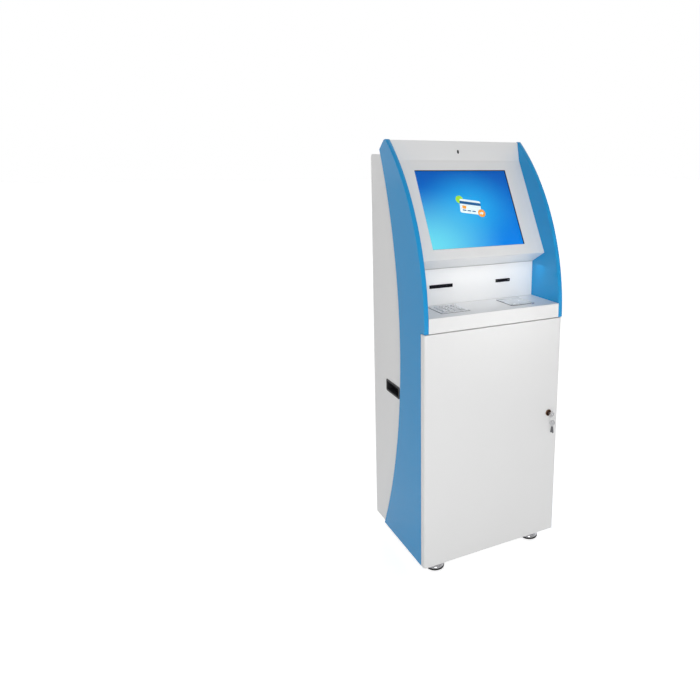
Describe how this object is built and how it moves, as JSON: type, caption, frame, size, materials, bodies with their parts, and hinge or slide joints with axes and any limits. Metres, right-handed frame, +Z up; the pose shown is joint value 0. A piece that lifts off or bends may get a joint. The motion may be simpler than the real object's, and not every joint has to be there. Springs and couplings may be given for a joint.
{
  "type": "self-service banking terminal",
  "caption": "Free-standing self-service banking kiosk with a tilted touch screen, PIN shelf, receipt and card slots, curved side panels and lockable doors.",
  "frame": {"origin": "centre of the bounding box at floor level, under the levelling feet", "axes": "+Z up, -Y out of the screen towards the user, +X to the user's right"},
  "size_m": [0.56, 0.4972, 1.52],
  "materials": {
    "cabinet_white": "semi-gloss powder coat",
    "wing_blue": "high gloss paint",
    "zinc_steel": "zinc plated sheet",
    "lock_brass": "satin",
    "key_steel": "nickel plated",
    "black_plastic": "fine texture",
    "foot_plastic": "glossy black",
    "pad_steel": "satin stainless",
    "reader_grey": "satin",
    "reader_window": "clear",
    "screen_glass": "polished",
    "screen_cell": "lit display",
    "roll_paper": "matte"
  },
  "bodies": {
    "cabinet": {"base_tray": "cabinet_white", "side_wall_left": "cabinet_white", "side_wall_right": "cabinet_white", "back_panel": "cabinet_white", "top_cover": "cabinet_white", "wing_left": "wing_blue", "wing_right": "wing_blue", "screen_fascia": "cabinet_white", "recess_panel": "cabinet_white", "shelf_deck": "cabinet_white", "door_frame": "cabinet_white", "equipment_shelf": "zinc_steel", "hinge_pins": "zinc_steel", "carry_handles": "black_plastic", "power_inlet": "black_plastic", "computer_unit": "zinc_steel", "power_unit": "zinc_steel", "monitor_chassis": "zinc_steel", "lcd_panel": "screen_cell", "touch_glass": "screen_glass", "camera_module": "black_plastic", "receipt_printer": "black_plastic", "receipt_bezel": "black_plastic", "card_reader": "black_plastic", "card_bezel": "black_plastic", "pin_pad_housing": "pad_steel", "id_reader": "reader_grey", "id_reader_window": "reader_window", "foot_lock_nuts": "zinc_steel"},
    "front_door": {"front_door": "cabinet_white", "door_stiffeners": "cabinet_white", "lock_barrel": "lock_brass"},
    "lock_plug": {"lock_plug": "lock_brass", "lock_cam": "zinc_steel"},
    "service_key": {"service_key": "key_steel"},
    "key_ring": {"key_ring": "key_steel"},
    "spare_keys": {"spare_keys": "key_steel"},
    "rear_door": {"rear_door": "cabinet_white"},
    "rear_latch": {"rear_latch": "zinc_steel"},
    "paper_roll": {"paper_roll": "roll_paper"},
    "foot_front_left": {"foot_front_left": "foot_plastic"},
    "foot_front_right": {"foot_front_right": "foot_plastic"},
    "foot_rear_left": {"foot_rear_left": "foot_plastic"},
    "foot_rear_right": {"foot_rear_right": "foot_plastic"},
    "pin_key_1": {"pin_key_1": "pad_steel"},
    "pin_key_2": {"pin_key_2": "pad_steel"},
    "pin_key_3": {"pin_key_3": "pad_steel"},
    "pin_key_cancel": {"pin_key_cancel": "pad_steel"},
    "pin_key_4": {"pin_key_4": "pad_steel"},
    "pin_key_5": {"pin_key_5": "pad_steel"},
    "pin_key_6": {"pin_key_6": "pad_steel"},
    "pin_key_clear": {"pin_key_clear": "pad_steel"},
    "pin_key_7": {"pin_key_7": "pad_steel"},
    "pin_key_8": {"pin_key_8": "pad_steel"},
    "pin_key_9": {"pin_key_9": "pad_steel"},
    "pin_key_help": {"pin_key_help": "pad_steel"},
    "pin_key_dot": {"pin_key_dot": "pad_steel"},
    "pin_key_0": {"pin_key_0": "pad_steel"},
    "pin_key_double_zero": {"pin_key_double_zero": "pad_steel"},
    "pin_key_enter": {"pin_key_enter": "pad_steel"}
  },
  "joints": [
    {"name": "front_door_hinge", "type": "hinge", "parent": "cabinet", "child": "front_door", "pos_m": [-0.2744, -0.19638, 0.043], "axis": [0, 0, -1], "range_deg": [0, 110]},
    {"name": "lock_turn", "type": "hinge", "parent": "front_door", "child": "lock_plug", "pos_m": [0.236, -0.21238, 0.532], "axis": [0, -1, 0], "range_deg": [0, 90]},
    {"name": "key_pull", "type": "slide", "parent": "lock_plug", "child": "service_key", "axis": [0, -1, 0], "range_m": [0, 0.03]},
    {"name": "ring_swing", "type": "hinge", "parent": "service_key", "child": "key_ring", "pos_m": [0.236, -0.23938, 0.53095], "axis": [1, 0, 0], "range_deg": [-55, 12]},
    {"name": "spare_keys_swing", "type": "hinge", "parent": "key_ring", "child": "spare_keys", "pos_m": [0.236, -0.23938, 0.50695], "axis": [1, 0, 0], "range_deg": [-25, 6]},
    {"name": "rear_door_hinge", "type": "hinge", "parent": "cabinet", "child": "rear_door", "pos_m": [-0.204, 0.23562, 0.123], "axis": [0, 0, 1], "range_deg": [0, 110]},
    {"name": "rear_latch_turn", "type": "hinge", "parent": "rear_door", "child": "rear_latch", "pos_m": [0.19, 0.24262, 0.75], "axis": [0, -1, 0], "range_deg": [0, 90]},
    {"name": "paper_roll_spin", "type": "hinge", "parent": "cabinet", "child": "paper_roll", "pos_m": [-0.128, 0.12562, 1.004], "axis": [1, 0, 0], "continuous": true},
    {"name": "foot_front_left_turn", "type": "hinge", "parent": "cabinet", "child": "foot_front_left", "pos_m": [-0.208, -0.15438, 0.02], "axis": [0, 0, 1], "continuous": true},
    {"name": "foot_front_right_turn", "type": "hinge", "parent": "cabinet", "child": "foot_front_right", "pos_m": [0.208, -0.15438, 0.02], "axis": [0, 0, 1], "continuous": true},
    {"name": "foot_rear_left_turn", "type": "hinge", "parent": "cabinet", "child": "foot_rear_left", "pos_m": [-0.208, 0.18762, 0.02], "axis": [0, 0, 1], "continuous": true},
    {"name": "foot_rear_right_turn", "type": "hinge", "parent": "cabinet", "child": "foot_rear_right", "pos_m": [0.208, 0.18762, 0.02], "axis": [0, 0, 1], "continuous": true},
    {"name": "press_1", "type": "slide", "parent": "cabinet", "child": "pin_key_1", "axis": [0, 0, -1], "range_m": [0, 0.0025], "stiffness_N_per_m": 400, "springref_m": -0.001},
    {"name": "press_2", "type": "slide", "parent": "cabinet", "child": "pin_key_2", "axis": [0, 0, -1], "range_m": [0, 0.0025], "stiffness_N_per_m": 400, "springref_m": -0.001},
    {"name": "press_3", "type": "slide", "parent": "cabinet", "child": "pin_key_3", "axis": [0, 0, -1], "range_m": [0, 0.0025], "stiffness_N_per_m": 400, "springref_m": -0.001},
    {"name": "press_cancel", "type": "slide", "parent": "cabinet", "child": "pin_key_cancel", "axis": [0, 0, -1], "range_m": [0, 0.0025], "stiffness_N_per_m": 400, "springref_m": -0.001},
    {"name": "press_4", "type": "slide", "parent": "cabinet", "child": "pin_key_4", "axis": [0, 0, -1], "range_m": [0, 0.0025], "stiffness_N_per_m": 400, "springref_m": -0.001},
    {"name": "press_5", "type": "slide", "parent": "cabinet", "child": "pin_key_5", "axis": [0, 0, -1], "range_m": [0, 0.0025], "stiffness_N_per_m": 400, "springref_m": -0.001},
    {"name": "press_6", "type": "slide", "parent": "cabinet", "child": "pin_key_6", "axis": [0, 0, -1], "range_m": [0, 0.0025], "stiffness_N_per_m": 400, "springref_m": -0.001},
    {"name": "press_clear", "type": "slide", "parent": "cabinet", "child": "pin_key_clear", "axis": [0, 0, -1], "range_m": [0, 0.0025], "stiffness_N_per_m": 400, "springref_m": -0.001},
    {"name": "press_7", "type": "slide", "parent": "cabinet", "child": "pin_key_7", "axis": [0, 0, -1], "range_m": [0, 0.0025], "stiffness_N_per_m": 400, "springref_m": -0.001},
    {"name": "press_8", "type": "slide", "parent": "cabinet", "child": "pin_key_8", "axis": [0, 0, -1], "range_m": [0, 0.0025], "stiffness_N_per_m": 400, "springref_m": -0.001},
    {"name": "press_9", "type": "slide", "parent": "cabinet", "child": "pin_key_9", "axis": [0, 0, -1], "range_m": [0, 0.0025], "stiffness_N_per_m": 400, "springref_m": -0.001},
    {"name": "press_help", "type": "slide", "parent": "cabinet", "child": "pin_key_help", "axis": [0, 0, -1], "range_m": [0, 0.0025], "stiffness_N_per_m": 400, "springref_m": -0.001},
    {"name": "press_dot", "type": "slide", "parent": "cabinet", "child": "pin_key_dot", "axis": [0, 0, -1], "range_m": [0, 0.0025], "stiffness_N_per_m": 400, "springref_m": -0.001},
    {"name": "press_0", "type": "slide", "parent": "cabinet", "child": "pin_key_0", "axis": [0, 0, -1], "range_m": [0, 0.0025], "stiffness_N_per_m": 400, "springref_m": -0.001},
    {"name": "press_double_zero", "type": "slide", "parent": "cabinet", "child": "pin_key_double_zero", "axis": [0, 0, -1], "range_m": [0, 0.0025], "stiffness_N_per_m": 400, "springref_m": -0.001},
    {"name": "press_enter", "type": "slide", "parent": "cabinet", "child": "pin_key_enter", "axis": [0, 0, -1], "range_m": [0, 0.0025], "stiffness_N_per_m": 400, "springref_m": -0.001}
  ]
}
